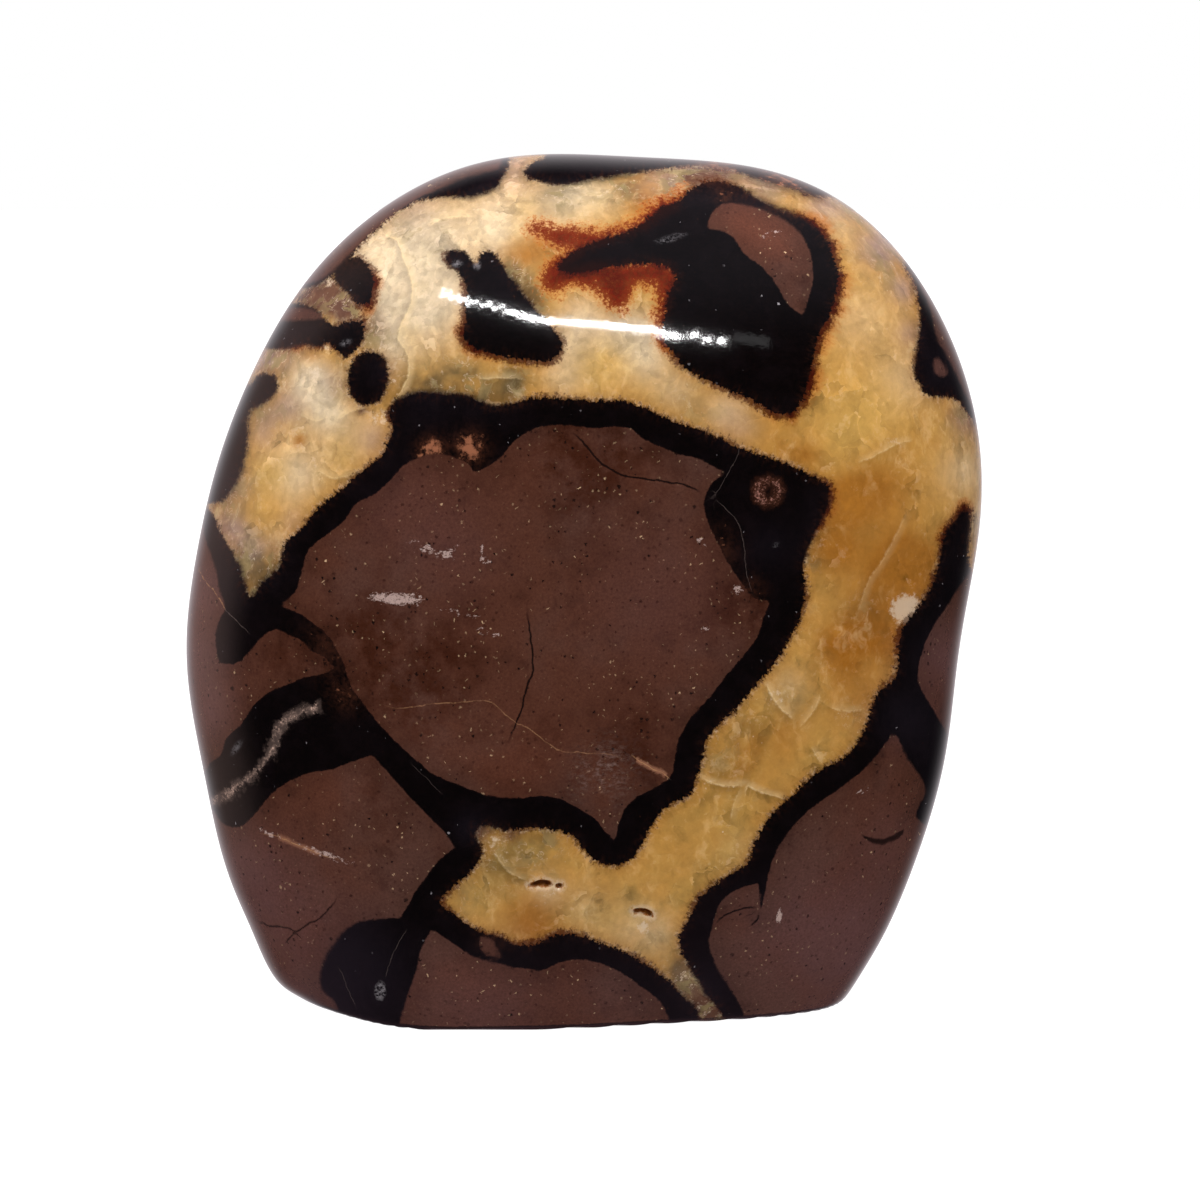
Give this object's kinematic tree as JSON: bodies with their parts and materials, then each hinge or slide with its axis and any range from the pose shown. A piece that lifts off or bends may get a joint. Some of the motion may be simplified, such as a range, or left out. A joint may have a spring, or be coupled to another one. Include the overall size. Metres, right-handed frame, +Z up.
{
  "type": "septarian nodule",
  "caption": "Polished septarian nodule freeform: brown mudstone blocks split by black-rimmed honey calcite veins, standing upright on a small sawn flat.",
  "frame": {"origin": "on the plane the stone stands on, under the middle of its bounding box", "axes": "+Z up, the stone's tallest way; -Y out of the show face; +X to the viewer's right when facing the show face"},
  "size_m": [0.0938, 0.047, 0.0997],
  "materials": {
    "polished_stone": "high polish all over; brown mudstone with black crystalline rims and translucent honey to cream calcite; the sawn flat under it is finely ground"
  },
  "bodies": {
    "root": {"septarian_nodule": "polished_stone"}
  },
  "joints": []
}
